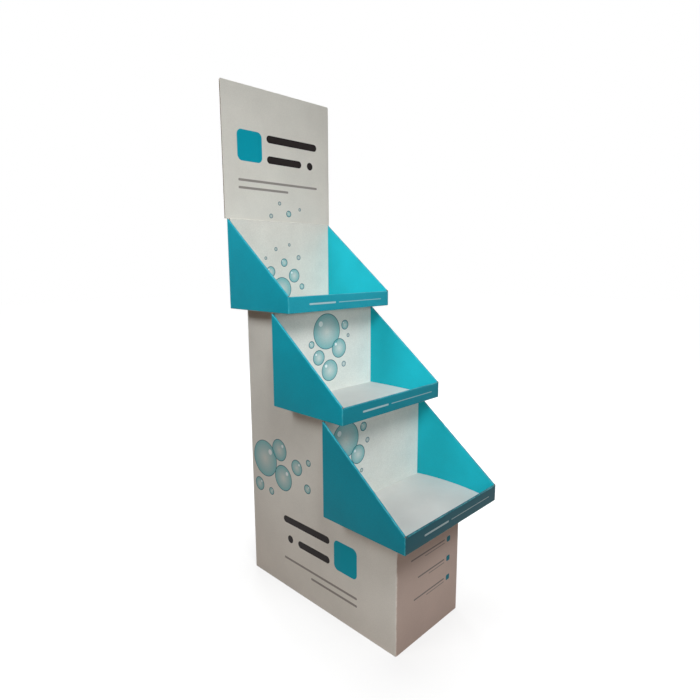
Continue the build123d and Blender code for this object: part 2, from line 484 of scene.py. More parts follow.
class Wiring:
    """Short calls that place and join the nodes of one material or node group."""

    def __init__(self, tree: Tree) -> None:
        """Keeps the node tree that is worked on."""
        self.tree = tree

    def feed(self, socket: Socket, source: object) -> None:
        """Joins a socket to another one, or sets its value.

        Args:
            socket: the input.
            source: another node's output, or a value.
        """
        if isinstance(source, bpy.types.NodeSocket):
            self.tree.links.new(source, socket)
        else:
            socket.default_value = source

    def fill(self, node: Node, **inputs: object) -> Node:
        """Feeds a node's inputs, whose names have low lines for spaces.

        Args:
            node: the node.
            **inputs: values or outputs for its inputs, by name.

        Returns:
            The same node.
        """
        for name, value in inputs.items():
            self.feed(node.inputs[name.replace("_", " ")], value)
        return node

    def add(self, kind: str, *terms: object, **settings: object) -> Node:
        """A new node with its settings and its first inputs fed.

        Args:
            kind: the node's type.
            *terms: values or outputs for its first inputs.
            **settings: its properties by name.

        Returns:
            The node.
        """
        node = self.tree.nodes.new(kind)
        for name, value in settings.items():
            setattr(node, name, value)
        for socket, term in zip(node.inputs, terms):
            self.feed(socket, term)
        return node

    def math(self, operation: str, *terms: object, clamp: bool = False) -> Socket:
        """The result of a Math node on numbers or sockets."""
        return self.add("ShaderNodeMath", *terms, operation=operation, use_clamp=clamp).outputs[0]

    def vector(self, operation: str, *terms: object, gives: str = "Vector") -> Socket:
        """The result of a Vector Math node on vectors or sockets."""
        return self.add("ShaderNodeVectorMath", *terms, operation=operation).outputs[gives]

    def axes(self, place: Socket) -> bpy.types.NodeOutputs:
        """The coordinates of a place, one by one."""
        return self.add("ShaderNodeSeparateXYZ", place).outputs

    def object_place(self) -> Socket:
        """The piece's own coordinates."""
        return self.add("ShaderNodeTexCoord").outputs["Object"]

    def blend(self, share: object, under: object, over: object, mode: str = "MIX") -> Socket:
        """Colour that goes from one to another by a share from 0 to 1.

        Args:
            share: share of the second colour.
            under: the first colour.
            over: the second colour.
            mode: how the second colour is laid over the first.

        Returns:
            The blended colour.
        """
        node = self.add("ShaderNodeMix", share, data_type="RGBA", blend_type=mode)
        for socket, colour in zip(node.inputs[6:8], (under, over)):
            self.feed(socket, colour)
        return node.outputs[2]

    def span(self, value: Socket, low: float, high: float, first: float = 0.0, last: float = 1.0) -> Socket:
        """A value stretched from one range to another and held inside it."""
        return self.add("ShaderNodeMapRange", value, low, high, first, last, clamp=True).outputs[0]

    def noise(self, place: Socket, scale: float, detail: float = 2.0, rough: float = 0.5) -> Socket:
        """Soft noise, 0 to 1, with a scale in waves a metre."""
        node = self.add("ShaderNodeTexNoise")
        return self.fill(node, Vector=place, Scale=scale, Detail=detail, Roughness=rough).outputs[0]

    def group(self, tree: Tree, **inputs: object) -> bpy.types.NodeOutputs:
        """What a node group puts out, placed with its own values."""
        return self.fill(self.add("ShaderNodeGroup", node_tree=tree), **inputs).outputs

    def bump(self, height: Socket, distance: float) -> Socket:
        """Normal of a height in metres, with the depth that it is multiplied by."""
        return self.fill(self.add("ShaderNodeBump"), Height=height, Distance=distance).outputs[0]

    def shade(self, **inputs: object) -> None:
        """Feeds the material's own shader."""
        self.fill(self.tree.nodes["Principled BSDF"], **inputs)


class Effects:
    """Node groups that more than one finish uses, each built once."""

    VECTOR = "NodeSocketVector"
    NUMBER = "NodeSocketFloat"
    COLOUR = "NodeSocketColor"

    # Noises, each with its waves a metre, its detail and its roughness.
    CLOUDS = (9.0, 3.0, 0.55)
    FINE = (420.0, 3.0, 0.6)
    FIBRES = (1900.0, 2.0, 0.7)
    BREAKS = (60.0, 4.0, 0.65)
    SPECKS = (900.0, 2.0, 0.6)

    # Part of the mixed noises over which a fold goes from its print to its fold tint: worn print, and on
    # some prints painted light and shade too.
    FOLD_TINT_RAMP = (0.40, 0.66)

    # Raw edge, in shares of the board's thickness: height of the wave and soft edges of its papers.
    WAVE = 0.34
    MEDIUM = (0.09, 0.15)
    LINER = (0.37, 0.40)

    def __init__(self) -> None:
        """Builds the groups."""
        self.mark = self._mark()
        self.paper = self._paper()
        self.fold_wear_and_light = self._fold_wear_and_light()
        self.flutes = self._flutes()

    def _group(self, name: str, given: dict[str, str], out: dict[str, str]) -> tuple[Wiring, object, object]:
        """An empty node group with its sockets.

        Args:
            name: name of the group.
            given: names of its inputs, one string for each socket type.
            out: names of its outputs in the same way.

        Returns:
            Its wiring, its input node's outputs and its output node's inputs.
        """
        tree = bpy.data.node_groups.new(name, "ShaderNodeTree")
        for way, sockets in (("INPUT", given), ("OUTPUT", out)):
            for kind, labels in sockets.items():
                for label in labels.split():
                    tree.interface.new_socket(label.replace("_", " "), in_out=way, socket_type=kind)
        w = Wiring(tree)
        return w, w.add("NodeGroupInput").outputs, w.add("NodeGroupOutput").inputs

    @staticmethod
    def _wave(w: Wiring, along: Socket, pitch: Socket, height: object) -> Socket:
        """A sine wave of a given pitch and height along a coordinate."""
        turns = w.math("MULTIPLY", w.math("DIVIDE", along, pitch), 2 * pi)
        return w.math("MULTIPLY", w.math("SINE", turns), height)

    @staticmethod
    def _mixed(w: Wiring, first: Socket, share: float, second: Socket, other: float) -> Socket:
        """The sum of two values, each times its own share."""
        return w.math("ADD", w.math("MULTIPLY", first, share), w.math("MULTIPLY", second, other))

    def _mark(self) -> Tree:
        """Distance to a rounded box: a disc, a bar or a rounded square in the plane of the print.

        Returns:
            The node group.
        """
        w, given, out = self._group(
            "rounded_mark",
            {self.VECTOR: "Place Centre Half_Size", self.NUMBER: "Radius"},
            {self.NUMBER: "Distance"},
        )
        offset = w.vector("ABSOLUTE", w.vector("SUBTRACT", given["Place"], given["Centre"]))
        beyond = w.vector("SUBTRACT", offset, given["Half Size"])
        length = w.vector("LENGTH", w.vector("MAXIMUM", beyond, (0.0, 0.0, 0.0)), gives="Value")
        w.feed(out["Distance"], w.math("SUBTRACT", length, given["Radius"]))
        return w.tree

    def _paper(self) -> Tree:
        """Cloudiness, fibres and the faint washboard of the flutes under a liner.

        Returns:
            The node group.
        """
        w, given, out = self._group(
            "paper_liner",
            {self.VECTOR: "Place", self.NUMBER: "Across Pitch Washboard"},
            {self.NUMBER: "Cloud Fibre Height"},
        )
        fine, fibre = (w.noise(given["Place"], *kind) for kind in (self.FINE, self.FIBRES))
        wave = self._wave(w, given["Across"], given["Pitch"], given["Washboard"])
        w.feed(out["Cloud"], w.noise(given["Place"], *self.CLOUDS))
        w.feed(out["Fibre"], self._mixed(w, fine, 0.6, fibre, 0.4))
        w.feed(out["Height"], w.math("ADD", wave, self._mixed(w, fine, 0.02, fibre, 0.012)))
        return w.tree

    def _fold_wear_and_light(self) -> Tree:
        """Where a fold takes its tint: the print rubbed along it, which on some prints also carries painted
        light and shade.

        Returns:
            The node group.
        """
        w, given, out = self._group(
            "fold_wear", {self.VECTOR: "Place", self.NUMBER: "Amount"}, {self.NUMBER: "Wear"}
        )
        fold = w.add("ShaderNodeAttribute", attribute_name="fold").outputs["Fac"]
        breaks, specks = (w.noise(given["Place"], *kind) for kind in (self.BREAKS, self.SPECKS))
        rubbed = w.span(self._mixed(w, breaks, 0.65, specks, 0.35), *self.FOLD_TINT_RAMP)
        w.feed(out["Wear"], w.math("MULTIPLY", w.math("MULTIPLY", fold, rubbed), given["Amount"]))
        return w.tree

    def _flutes(self) -> Tree:
        """Raw edge of a board: two liners with the wave of the medium and painted shade in the hollows
        between them.

        Returns:
            The node group.
        """
        w, given, out = self._group(
            "raw_flutes",
            {self.NUMBER: "Along Across Pitch", self.COLOUR: "Liner Medium Hollow"},
            {self.COLOUR: "Colour", self.NUMBER: "Solid"},
        )
        wave = self._wave(w, given["Along"], given["Pitch"], self.WAVE)
        offset = w.math("SUBTRACT", given["Across"], 0.5)
        to_wave = w.math("ABSOLUTE", w.math("SUBTRACT", offset, wave))
        medium = w.span(to_wave, *self.MEDIUM, 1.0, 0.0)
        liner = w.span(w.math("ABSOLUTE", offset), *self.LINER)
        inner = w.blend(medium, given["Hollow"], given["Medium"])
        w.feed(out["Colour"], w.blend(liner, inner, given["Liner"]))
        w.feed(out["Solid"], w.math("MAXIMUM", medium, liner))
        return w.tree


# ------------------------------------------------------------------ shapes of ink


@dataclass(frozen=True)
class Mark:
    """One rounded shape of ink, with its place and size in the plane of its print, in metres."""

    across: float
    up: float
    half_across: float
    half_up: float
    radius: float
    tint: Colour
    strength: float = 1.0
    core: float = 1.0
    rim: float = 0.0

    SOFT_EDGE = 0.3 * MM
    RIM_EDGE = (0.2 * MM, 0.4 * MM)
    RIM_STRENGTH = 0.85

    def stamp(self, w: Wiring, effects: Effects, place: Socket, colour: Socket) -> Socket:
        """Prints the mark over a colour.

        Args:
            w: wiring of the material.
            effects: the shared node groups.
            place: coordinates in the plane of the print.
            colour: what lies under the mark.

        Returns:
            The new colour.
        """
        centre, half = (self.across, self.up, 0.0), (self.half_across, self.half_up, 0.0)
        shape = w.group(effects.mark, Place=place, Centre=centre, Half_Size=half, Radius=self.radius)
        distance = shape["Distance"]
        inside = w.span(distance, -self.SOFT_EDGE, self.SOFT_EDGE, self.strength, 0.0)
        if self.core < 1.0:
            inside = w.math("MULTIPLY", inside, w.span(distance, -self.radius, -self.rim, self.core, 1.0))
        colour = w.blend(inside, colour, self.tint)
        if self.rim:
            half = self.rim / 2
            from_rim = w.math("ABSOLUTE", w.math("ADD", distance, half))
            inner, outer = half - self.RIM_EDGE[0], half + self.RIM_EDGE[1]
            colour = w.blend(w.span(from_rim, inner, outer, self.RIM_STRENGTH, 0.0), colour, Ink.RIM)
        return colour


Marks = tuple[Mark, ...]


def disc(across: float, up: float, radius: float, tint: Colour, strength: float = 1.0) -> Mark:
    """A plain disc of ink."""
    return Mark(across, up, 0.0, 0.0, radius, tint, strength)


def bar(left: float, right: float, up: float, thickness: float, tint: Colour, strength: float = 1.0) -> Mark:
    """A level bar with round ends, from its left end to its right end."""
    radius = thickness / 2
    return Mark((left + right) / 2, up, (right - left) / 2 - radius, 0.0, radius, tint, strength)


def tile(across: float, up: float, side: float, radius: float, tint: Colour) -> Mark:
    """A rounded square."""
    half = side / 2 - radius
    return Mark(across, up, half, half, radius, tint)


def emblem(across: float, up: float) -> Marks:
    """Plain group of shapes in the header's colours: a teal tile, charcoal bars and grey rules.

    Args:
        across: middle of the group across the panel.
        up: middle of the group's dark shapes.

    Returns:
        The marks, back to front.
    """
    return (
        tile(across - 0.112, up + 0.006, 0.088, 0.016, Ink.TEAL),
        bar(across - 0.050, across + 0.152, up + 0.036, 0.022, Ink.CHARCOAL),
        bar(across - 0.050, across + 0.086, up - 0.024, 0.022, Ink.CHARCOAL),
        disc(across + 0.122, up - 0.024, 0.012, Ink.CHARCOAL),
        bar(across - 0.156, across + 0.152, up - 0.092, 0.007, Ink.GREY, 0.9),
        bar(across - 0.156, across + 0.030, up - 0.114, 0.007, Ink.GREY, 0.9),
    )


# Bubbles: radius in millimetres of the smallest with a light spot, what is left of the ink at the middle of
# each, and the spot's radius and place in shares of the bubble's radius.
LEAST_GLINTING = 10
CLEAR_CORE = 0.22
SPOT, SPOT_SHIFT = 0.15, 0.45


def bubbles(*places: tuple[int, int, int]) -> Marks:
    """Overlapping clear discs with darker rims, the larger ones with a small light spot.

    Args:
        *places: middle across, middle up and radius of each disc, in millimetres.

    Returns:
        The marks, back to front.
    """
    marks: list[Mark] = []
    for place in places:
        across, up, radius = (number * MM for number in place)
        small = place[2] < LEAST_GLINTING
        tint, strength, rim = (Ink.DEEP_TEAL, 0.6, 1.2 * MM) if small else (Ink.AQUA, 0.85, 1.8 * MM)
        marks.append(Mark(across, up, 0.0, 0.0, radius, tint, strength, CLEAR_CORE, rim))
        if not small:
            shift = radius * SPOT_SHIFT
            marks.append(disc(across - shift, up + shift, radius * SPOT, Ink.GLINT, 0.9))
    return tuple(marks)


# ------------------------------------------------------------------ finishes


@dataclass(frozen=True)
class Finish:
    """One material, whose nodes its own kind wires."""

    name: str
    effects: Effects

    # Parts of the noises that are stretched to a finish's own range.
    CLOUDS = (0.35, 0.65)
    SOFT_CLOUDS = (0.3, 0.7)
    SPECKLES = (0.34, 0.66)
    FIBRES = (0.2, 0.8)

    def make(self) -> Material:
        """Builds the material.

        Returns:
            The finished material.
        """
        material = bpy.data.materials.new(self.name)
        material.use_nodes = True
        self.wire(Wiring(material.node_tree))
        return material

    def wire(self, w: Wiring) -> None:
        """Wires the nodes of the material."""
        raise NotImplementedError


@dataclass(frozen=True)
class PrintedLiner(Finish):
    """Coated white liner with a flood colour and a few shapes of ink on it."""

    base: Colour
    panel: Panel = Panel.FRONT
    marks: Marks = ()
    shift: Point = (0.0, 0.0, 0.0)
    roughness: float = 0.46
    unevenness: tuple[float, float] = (-0.04, 0.06)
    sheen: float = 0.12
    pitch: float = 6.4 * MM
    washboard: float = 0.05
    # Fold tint: worn print, which on the body is set lighter than its print as a painted highlight along the
    # folds; the trays give their own.
    fold_tint_wear_and_light: Colour = ink(244, 242, 234)
    fold_tint_amount: float = 0.8
    cloudiness: float = 0.06
    mottle: float = 0.07
    worn_roughness: float = 0.3
    relief: float = 0.4 * MM

    def wire(self, w: Wiring) -> None:
        """Wires the paper, the print on it and the tint along its folds, which is worn print with painted
        light and shade in it.

        Args:
            w: wiring of the material.
        """
        place = w.object_place()
        if any(self.shift):
            place = w.fill(w.add("ShaderNodeMapping"), Vector=place, Location=self.shift).outputs[0]
        axes = w.axes(place)
        across, up = (axes[name] for name in self.panel.value)
        flat = w.add("ShaderNodeCombineXYZ", across, up).outputs[0]
        paper = w.group(
            self.effects.paper, Place=place, Across=across, Pitch=self.pitch, Washboard=self.washboard
        )
        cloud = w.span(paper["Cloud"], *self.CLOUDS)
        colour = w.blend(cloud, dim(self.base, 1 - self.cloudiness), self.base)
        for mark in self.marks:
            colour = mark.stamp(w, self.effects, flat, colour)
        speckle = w.span(paper["Fibre"], *self.SPECKLES, 1 - self.mottle, 1 + self.mottle / 2)
        grey = w.add("ShaderNodeCombineColor", speckle, speckle, speckle).outputs[0]
        tinted = w.blend(1.0, colour, grey, "MULTIPLY")
        wear = w.group(self.effects.fold_wear_and_light, Place=place, Amount=self.fold_tint_amount)["Wear"]
        rough = w.span(paper["Fibre"], *self.FIBRES, *(self.roughness + part for part in self.unevenness))
        w.shade(
            Base_Color=w.blend(wear, tinted, self.fold_tint_wear_and_light),
            Roughness=w.math("ADD", rough, w.math("MULTIPLY", wear, self.worn_roughness), clamp=True),
            Specular_IOR_Level=self.sheen,
            Normal=w.bump(paper["Height"], self.relief),
        )


@dataclass(frozen=True)
class PlainLiner(Finish):
    """Uncoated inner liner, white or kraft, with fibres and specks."""

    base: Colour
    fleck: Colour
    pitch: float = 6.4 * MM
    washboard: float = 0.12
    dullness: float = 0.9
    fleck_noise: tuple[float, float, float] = (640.0, 3.0, 0.7)
    fleck_edge: tuple[float, float] = (0.60, 0.72)
    flecks: float = 0.35
    roughness: float = 0.78
    unevenness: tuple[float, float] = (-0.06, 0.08)
    relief: float = 0.5 * MM

    def paper(self, w: Wiring, place: Socket, across: Socket) -> tuple[bpy.types.NodeOutputs, Socket]:
        """Shades the uncoated paper.

        Args:
            w: wiring of the material.
            place: the piece's coordinates.
            across: the coordinate across the flutes.

        Returns:
            What the paper's node group puts out, and the paper's colour.
        """
        paper = w.group(
            self.effects.paper, Place=place, Across=across, Pitch=self.pitch, Washboard=self.washboard
        )
        cloud = w.span(paper["Cloud"], *self.SOFT_CLOUDS)
        colour = w.blend(cloud, dim(self.base, self.dullness), self.base)
        specks = w.span(w.noise(place, *self.fleck_noise), *self.fleck_edge, 0.0, self.flecks)
        return paper, w.blend(specks, colour, self.fleck)

    def wire(self, w: Wiring) -> None:
        """Wires the paper.

        Args:
            w: wiring of the material.
        """
        place = w.object_place()
        paper, colour = self.paper(w, place, w.axes(place)["X"])
        rough = w.span(paper["Fibre"], *self.FIBRES, *(self.roughness + part for part in self.unevenness))
        w.shade(Base_Color=colour, Roughness=rough, Normal=w.bump(paper["Height"], self.relief))


@dataclass(frozen=True)
class KraftPlate(PlainLiner):
    """Plain kraft board of a flat plate: liners on its faces, flutes on its edges, by the plate's axes."""

    washboard: float = 0.15
    dullness: float = 0.88
    fleck_noise: tuple[float, float, float] = (520.0, 3.0, 0.7)
    fleck_edge: tuple[float, float] = (0.58, 0.72)
    flecks: float = 0.5
    roughness: float = 0.82
    along: str = "X"
    across: str = "Y"
    middle: float = 0.0
    thickness: float = 3.0 * MM

    def wire(self, w: Wiring) -> None:
        """Wires the liners and the fluted edges.

        Args:
            w: wiring of the material.
        """
        place = w.object_place()
        axes = w.axes(place)
        start = self.middle - self.thickness / 2
        across = w.math("DIVIDE", w.math("SUBTRACT", axes[self.across], start), self.thickness)
        along = axes[self.along]
        paper, face = self.paper(w, place, along)
        papers = {"Liner": self.base, "Medium": self.base, "Hollow": Ink.HOLLOW}
        edge = w.group(self.effects.flutes, Along=along, Across=across, Pitch=self.pitch, **papers)
        colour = w.blend(edge["Solid"], edge["Colour"], face)
        w.shade(Base_Color=colour, Roughness=self.roughness, Normal=w.bump(paper["Height"], self.relief))


@dataclass(frozen=True)
class RawEdge(Finish):
    """Cut edge of a board whose flutes stand upright, drawn from its own edge map."""

    pitch: float = 6.4 * MM
    roughness: float = 0.85
    relief: float = 0.6 * MM
    liner: Colour = ink(196, 188, 176)
    medium: Colour = ink(164, 128, 88)

    def wire(self, w: Wiring) -> None:
        """Wires the liners, the wave and the painted shade in the hollows.

        Args:
            w: wiring of the material.
        """
        axes = w.axes(w.add("ShaderNodeUVMap", uv_map="edge").outputs[0])
        papers = {"Liner": self.liner, "Medium": self.medium, "Hollow": Ink.HOLLOW}
        edge = w.group(self.effects.flutes, Along=axes[0], Across=axes[1], Pitch=self.pitch, **papers)
        normal = w.bump(edge["Solid"], self.relief)
        w.shade(Base_Color=edge["Colour"], Roughness=self.roughness, Normal=normal)


# ------------------------------------------------------------------ trays


@dataclass(frozen=True)
class TrayFinishes:
    """Materials of one tray's blank, by the panel that shows them."""

    sides: Material
    inside: Material
    lip: Material
    backdrop: Material
    outer_back: Material
    plain: Material
    raw: Material

    def board(self, printed: Material) -> BoardFinishes:
        """Finishes of a panel with this print."""
        return BoardFinishes(printed, self.plain, self.raw)

    def own(self) -> tuple[Material, ...]:
        """The prints that differ from tray to tray: in their marks, their place and their painted light and
        shade.
        """
        return self.sides, self.lip, self.backdrop


@dataclass
class Wall:
    """Roll-over of one tray wall: skirt, ridge and inner panel, from the outer to the inner face."""

    run: Run
    outer: float
    inner: float
    start: float
    end: float
    top_start: float
    top_end: float
    foot: float
    skirt: float = 3.0 * MM
    fold: float = 1.9 * MM

    def build(self, name: str) -> Piece:
        """Models the folded strip as a surface that faces outwards.

        Args:
            name: name of the strip.

        Returns:
            The strip without thickness.
        """
        along = self.run.value
        side = X + Y - along  # the other level axis
        rise = self.top_end - self.top_start
        low, high = Vector((0, 0, self.top_start)), Vector((0, 0, self.top_start))
        low[side], high[side] = sorted((self.outer, self.inner))
        low[along], high[along] = self.start, self.end
        strip = sheet(name, low, high)
        with Bench(strip) as bench:
            bench.pick(Kind.VERT, lambda p, n: near(p[along], self.end))
            bench.move(z=rise)
            for place, drop in ((self.outer, self.skirt), (self.inner, self.top_start - self.foot)):
                bench.pick(Kind.EDGE, lambda p, d: near(p[side], place) and abs(d[along]) > SLOPING)
                bench.pull_edges(z=-drop)

            def at_foot_end(p: Vector, n: Vector) -> bool:
                """Whether a corner is the far lower one of the inner panel."""
                return near(p[side], self.inner) and near(p[along], self.end) and p.z < self.top_end - TINY

            bench.pick(Kind.VERT, at_foot_end)
            bench.move(z=-rise)
            ridge = (self.top_start + self.top_end) / 2
            bench.pick(Kind.EDGE, lambda p, d: abs(d[along]) > SLOPING and near(p.z, ridge))
            bench.round_folds(self.fold)
        return strip


@dataclass
class Tray:
    """Open tray from one blank, with double walls that are rolled over a ridge."""

    low: Vector
    high: Vector
    lip: float = 45.0 * MM
    wall: float = 6.0 * MM
    board: float = 2.0 * MM
    fold: float = 2.3 * MM
    corner: float = 3.0 * MM
    skirt: float = 3.0 * MM
    seam: float = 0.4 * MM
    hem: float = 0.6 * MM
    floor_gap: float = 0.5 * MM
    floor_crease: float = 0.15 * MM
    rear_lift: float = 4.6 * MM
    front_lift: float = 1.0 * MM
    crest: float = 2.2 * MM
    highest_arch: float = 20.0 * MM
    floor_folds: int = 14
    tab_length: float = 32.0 * MM
    tab_chamfer: float = 0.2 * MM
    tab_inset: float = 0.3 * MM
    slot_slip: float = 0.2 * MM
    slot_depth: float = 1.3 * MM
    slot_start: float = -1.0 * MM
    side_tab_spacing: float = 84.0 * MM
    cross_tab_spacing: float = 210.0 * MM

    def slope_at(self, y: float) -> float:
        """Height of the sloping walls' ridge at a depth."""
        share = (y - self.low.y) / (self.high.y - self.low.y)
        return self.low.z + self.lip + share * (self.high.z - self.low.z - self.lip)

    def build(self, name: str, finishes: TrayFinishes) -> Piece:
        """Models the tray and gives it the materials of its panels.

        Args:
            name: name of the piece.
            finishes: its materials.

        Returns:
            The finished piece.
        """
        skin = self._skin()
        give_thickness(skin, self.board, finishes.board(finishes.sides))
        repaint(skin, finishes.outer_back, lambda p, n: n.y > NEARER or n.z < -NEARER)
        repaint(skin, finishes.lip, lambda p, n: n.y < -NEARER)
        self._bow_floor(skin)
        self._cut_slots(skin)
        parts = [skin]
        for label, wall in self._walls().items():
            strip = wall.build(f"{name}_{label}")
            self._print_wall(strip, label, finishes)
            parts.append(strip)
        tray = join(parts + self._tabs(finishes.plain), name)
        smooth(tray)
        return tray

    def _print_wall(self, strip: Piece, label: str, finishes: TrayFinishes) -> None:
        """Gives one roll-over its thickness and the prints of its two sides.

        Args:
            strip: the folded strip as a surface.
            label: name of the wall.
            finishes: the tray's materials.
        """
        prints = {"lip": finishes.lip, "back": finishes.backdrop}
        give_thickness(strip, self.board, finishes.board(prints.get(label, finishes.sides)))
        middle = (self.low + self.high) / 2

        def looks_in(p: Vector, n: Vector) -> bool:
            """Whether an upright face looks to the middle of the tray."""
            return abs(n.z) < SLOPING and (middle - p).to_2d().dot(n.to_2d()) > 0

        if label == "back":
            repaint(strip, finishes.outer_back, lambda p, n: n.y > NEARER)
        else:
            repaint(strip, finishes.inside, looks_in)

    def _skin(self) -> Piece:
        """Base and outer panels as a surface, open at the top and notched for the roll-overs.

        Returns:
            The surface, whose faces look outwards.
        """
        skin = block("skin", self.low, self.high)
        front_top = Vector((0.0, self.low.y, self.low.z + self.lip))
        slope = Vector((0.0, front_top.z - self.high.z, self.high.y - self.low.y)).normalized()
        inner_x = self.high.x - self.wall
        front, rear = self.low.y + self.corner, self.high.y - self.corner
        lip_cut, back_cut = front_top.z - self.skirt, self.high.z - self.skirt

        def in_notch(p: Vector, n: Vector) -> bool:
            """Whether a face makes room for a roll-over.

            Args:
                p: middle of the face.
                n: its normal.

            Returns:
                Whether it goes.
            """
            if abs(n.x) > STRAIGHT:
                return front < p.y < rear and p.z > self.slope_at(p.y) - self.skirt
            top = back_cut if n.y > STRAIGHT else lip_cut
            return abs(n.y) > STRAIGHT and abs(p.x) < inner_x and p.z > top

        with Bench(skin) as bench:
            bench.cut_all(front_top, slope, clear=True)
            bench.cut_at(Y, (front, rear), facing(X))
            bench.pick(Kind.FACE, facing(X))
            bench.cut(front_top - Vector((0.0, 0.0, self.skirt)), slope)
            bench.cut_at(X, (-inner_x, inner_x), facing(Y))
            bench.cut_at(Z, (lip_cut,), facing(Y, -1))
            bench.cut_at(Z, (back_cut,), facing(Y, 1))
            bench.clear(in_notch)
            bench.pick(Kind.EDGE, self._is_fold)
            bench.round_folds(self.fold)
        return skin

    def _is_fold(self, place: Vector, run: Vector) -> bool:
        """Whether an edge of the outer panels is one of their folds.

        Args:
            place: middle of the edge.
            run: its direction.

        Returns:
            Whether it is folded.
        """
        at_side = near(place.x, self.low.x) or near(place.x, self.high.x)
        at_end = near(place.y, self.low.y) or near(place.y, self.high.y)
        upright = abs(run.z) > STRAIGHT and at_side and at_end
        return upright or (near(place.z, self.low.z) and (at_side or at_end))

    def _walls(self) -> dict[str, Wall]:
        """The four roll-overs by name.

        Returns:
            The left and right walls, the lip and the back wall.
        """
        low, high = self.low, self.high
        front, rear = low.y + self.corner, high.y - self.corner
        foot = low.z + self.board + self.hem
        inner_x = high.x - self.wall
        half = inner_x - self.seam
        lip, slope = low.z + self.lip, (self.slope_at(front), self.slope_at(rear))
        return {
            "left": Wall(Run.DEEP, low.x, -inner_x, front, rear, *slope, foot),
            "right": Wall(Run.DEEP, high.x, inner_x, front, rear, *slope, foot),
            "lip": Wall(Run.WIDE, low.y, low.y + self.wall, -half, half, lip, lip, foot),
            "back": Wall(Run.WIDE, high.y, high.y - self.wall, -half, half, high.z, high.z, foot),
        }

    def _soft_folds(self) -> list[float]:
        """Depths of the soft folds across the base.

        Returns:
            Their places along the Y axis, from the lip to the back wall.
        """
        inset = self.wall + self.floor_gap
        depth = self.high.y - self.low.y - 2 * inset
        return [self.low.y + inset + depth * k / self.floor_folds for k in range(self.floor_folds + 1)]

    def _bow_floor(self, skin: Piece) -> None:
        """Lifts the inner side of the base off its seat, in the soft arch of a folded board.

        Args:
            skin: the base and outer panels with their thickness.
        """
        level = self.low.z + self.board
        crease = self.wall + self.floor_crease
        insets = (crease, self.wall + self.floor_gap)
        cuts_x = [side * (self.high.x - inset) for inset in insets for side in (-1, 1)]
        cuts_y = [self.low.y + crease, self.high.y - crease, *self._soft_folds()]
        with Bench(skin) as bench:
            for axis, cuts in ((X, cuts_x), (Y, cuts_y)):
                bench.cut_at(axis, cuts, lambda p, n: n.z > STRAIGHT and near(p.z, level))
        self.arch_floor(skin, self.front_lift, self.rear_lift, self.crest)

    def arch_floor(self, piece: Piece, front: float, rear: float, crest: float) -> None:
        """Lifts the inner side of the base by an arch along its depth.

        Args:
            piece: the tray, or its outer skin.
            front: lift at the lip.
            rear: lift at the back wall.
            crest: height of the arch over the line between these two.
        """
        level = self.low.z + self.board
        half = self.high.x - self.wall - self.floor_gap + TINY
        with Bench(piece) as bench:
            for fold, y in enumerate(self._soft_folds()):

                def on_fold(p: Vector, n: Vector) -> bool:
                    """Whether a corner of the base lies on this fold."""
                    return near(p.y, y) and abs(p.x) < half and -TINY < p.z - level < self.highest_arch

                share = fold / self.floor_folds
                bench.pick(Kind.VERT, on_fold)
                bench.move(z=front * (1 - share) + rear * share + 4 * crest * share * (1 - share))

    def _tab_boxes(self) -> list[Box]:
        """Middles and half sizes, in plan, of the locking tabs in the base.

        Returns:
            A middle and a half size for each tab.
        """
        middle = (self.low.y + self.high.y) / 2
        inset = self.wall - self.board / 2
        length, thickness = self.tab_length / 2, self.board / 2
        aside, apart = self.side_tab_spacing / 2, self.cross_tab_spacing / 2
        ends_x = (self.low.x + inset, self.high.x - inset)
        ends_y = (self.low.y + inset, self.high.y - inset)
        boxes = [(x, middle + y, thickness, length) for x in ends_x for y in (-aside, aside)]
        boxes += [(x, y, length, thickness) for x in (-apart, apart) for y in ends_y]
        return [(Vector((x, y, 0.0)), Vector((half_x, half_y, 0.0))) for x, y, half_x, half_y in boxes]

    def _cut_slots(self, skin: Piece) -> None:
        """Cuts the slots of the locking tabs into the underside of the base.

        Args:
            skin: the base and outer panels with their thickness.
        """
        slip = Vector((self.slot_slip, self.slot_slip, 0.0))
        down, up = (Vector((0, 0, self.low.z + rise)) for rise in (self.slot_start, self.slot_depth))
        boxes = self._tab_boxes()
        cutters = [block("cutter", at - half - slip + down, at + half + slip + up) for at, half in boxes]
        cutter = join(cutters, "cutter")
        apply_modifier(skin, "BOOLEAN", operation="DIFFERENCE", solver="EXACT", object=cutter)
        bpy.data.objects.remove(cutter)

    def _tabs(self, board: Material) -> list[Piece]:
        """The ends of the locking tabs, just inside their slots.

        Args:
            board: material of the raw board.

        Returns:
            The tabs.
        """
        tabs = []
        low, high = (Vector((0, 0, self.low.z + rise)) for rise in (self.tab_inset, self.slot_depth))
        for middle, half in self._tab_boxes():
            tab = block("tab", middle - half + low, middle + half + high)
            with Bench(tab) as bench:
                bench.pick(Kind.EDGE, lambda p, d: near(p.z, low.z))
                bench.round_folds(self.tab_chamfer, segments=1)
            tab.data.materials.append(board)
            tabs.append(tab)
        return tabs


